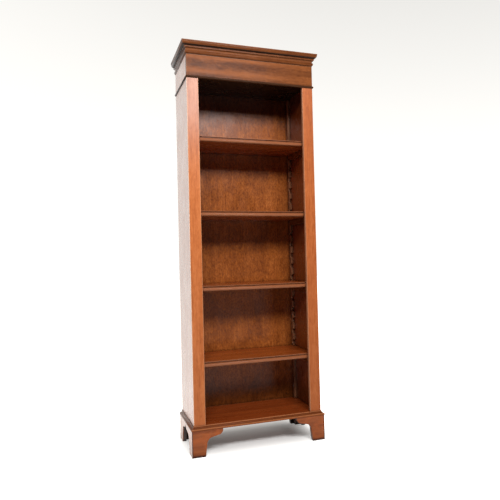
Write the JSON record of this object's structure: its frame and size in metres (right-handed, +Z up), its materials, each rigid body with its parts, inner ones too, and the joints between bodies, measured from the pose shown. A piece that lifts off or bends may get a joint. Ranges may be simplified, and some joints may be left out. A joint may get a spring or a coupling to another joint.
{
  "type": "bookcase with adjustable shelves",
  "caption": "Tall slim open bookcase with a moulded cornice, bracket feet and loose shelves that lie on cleats in notched rack strips.",
  "frame": {"origin": "on the floor, under the centre of the overall box", "axes": "+X to the right as seen from the front, +Y to the back, +Z up"},
  "size_m": [0.6528, 0.2934, 1.828],
  "materials": {
    "side_wood": "polished mahogany, straight vertical grain, pale sheen",
    "stile_wood": "polished mahogany, vertical grain",
    "frieze_wood": "polished mahogany, horizontal grain with lighter bands",
    "moulding_wood": "polished moulded mahogany, darkened in the quirks",
    "interior_wood": "polished reddish-brown mahogany",
    "back_veneer": "figured mahogany veneer, mottled vertical flame",
    "shelf_wood": "polished mahogany, grain along the shelf",
    "foot_wood": "polished mahogany, worn towards the floor",
    "rack_wood": "thinly polished mahogany strip",
    "cleat_wood": "thinly polished mahogany slat",
    "secondary_wood": "bare aged pine",
    "screw_steel": "dulled steel"
  },
  "bodies": {
    "carcase": {"side_panel_left": "side_wood", "side_panel_right": "side_wood", "stile_left": "stile_wood", "stile_right": "stile_wood", "frieze_rail": "frieze_wood", "bottom_board": "interior_wood", "top_board": "interior_wood", "back_panel": "back_veneer", "dust_board": "secondary_wood", "cornice_blocks": "secondary_wood", "cornice_front": "moulding_wood", "cornice_left": "moulding_wood", "cornice_right": "moulding_wood", "astragal_front": "moulding_wood", "astragal_left": "moulding_wood", "astragal_right": "moulding_wood", "base_moulding_front": "moulding_wood", "base_moulding_left": "moulding_wood", "base_moulding_right": "moulding_wood", "foot_front_left_face": "foot_wood", "foot_front_left_side": "foot_wood", "foot_front_right_face": "foot_wood", "foot_front_right_side": "foot_wood", "foot_rear_left_side": "foot_wood", "foot_rear_right_side": "foot_wood", "foot_rear_left_back": "secondary_wood", "foot_rear_right_back": "secondary_wood", "foot_front_left_block": "secondary_wood", "foot_front_right_block": "secondary_wood", "foot_rear_left_block": "secondary_wood", "foot_rear_right_block": "secondary_wood", "rack_front_left": "rack_wood", "rack_front_right": "rack_wood", "rack_rear_left": "rack_wood", "rack_rear_right": "rack_wood", "rack_screws": "screw_steel", "back_screws": "screw_steel"},
    "shelf_1": {"shelf_1": "shelf_wood"},
    "cleat_1_left": {"cleat_1_left": "cleat_wood"},
    "cleat_1_right": {"cleat_1_right": "cleat_wood"},
    "shelf_2": {"shelf_2": "shelf_wood"},
    "cleat_2_left": {"cleat_2_left": "cleat_wood"},
    "cleat_2_right": {"cleat_2_right": "cleat_wood"},
    "shelf_3": {"shelf_3": "shelf_wood"},
    "cleat_3_left": {"cleat_3_left": "cleat_wood"},
    "cleat_3_right": {"cleat_3_right": "cleat_wood"},
    "shelf_4": {"shelf_4": "shelf_wood"},
    "cleat_4_left": {"cleat_4_left": "cleat_wood"},
    "cleat_4_right": {"cleat_4_right": "cleat_wood"}
  },
  "joints": [
    {"name": "shelf_1_lift", "type": "slide", "parent": "carcase", "child": "shelf_1", "axis": [0, 0, 1], "range_m": [0, 0.285]},
    {"name": "cleat_1_left_draw", "type": "slide", "parent": "carcase", "child": "cleat_1_left", "axis": [1, 0, 0], "range_m": [0, 0.016]},
    {"name": "cleat_1_right_draw", "type": "slide", "parent": "carcase", "child": "cleat_1_right", "axis": [-1, 0, 0], "range_m": [0, 0.016]},
    {"name": "shelf_2_lift", "type": "slide", "parent": "carcase", "child": "shelf_2", "axis": [0, 0, 1], "range_m": [0, 0.285]},
    {"name": "cleat_2_left_draw", "type": "slide", "parent": "carcase", "child": "cleat_2_left", "axis": [1, 0, 0], "range_m": [0, 0.016]},
    {"name": "cleat_2_right_draw", "type": "slide", "parent": "carcase", "child": "cleat_2_right", "axis": [-1, 0, 0], "range_m": [0, 0.016]},
    {"name": "shelf_3_lift", "type": "slide", "parent": "carcase", "child": "shelf_3", "axis": [0, 0, 1], "range_m": [0, 0.285]},
    {"name": "cleat_3_left_draw", "type": "slide", "parent": "carcase", "child": "cleat_3_left", "axis": [1, 0, 0], "range_m": [0, 0.016]},
    {"name": "cleat_3_right_draw", "type": "slide", "parent": "carcase", "child": "cleat_3_right", "axis": [-1, 0, 0], "range_m": [0, 0.016]},
    {"name": "shelf_4_lift", "type": "slide", "parent": "carcase", "child": "shelf_4", "axis": [0, 0, 1], "range_m": [0, 0.268]},
    {"name": "cleat_4_left_draw", "type": "slide", "parent": "carcase", "child": "cleat_4_left", "axis": [1, 0, 0], "range_m": [0, 0.016]},
    {"name": "cleat_4_right_draw", "type": "slide", "parent": "carcase", "child": "cleat_4_right", "axis": [-1, 0, 0], "range_m": [0, 0.016]}
  ]
}
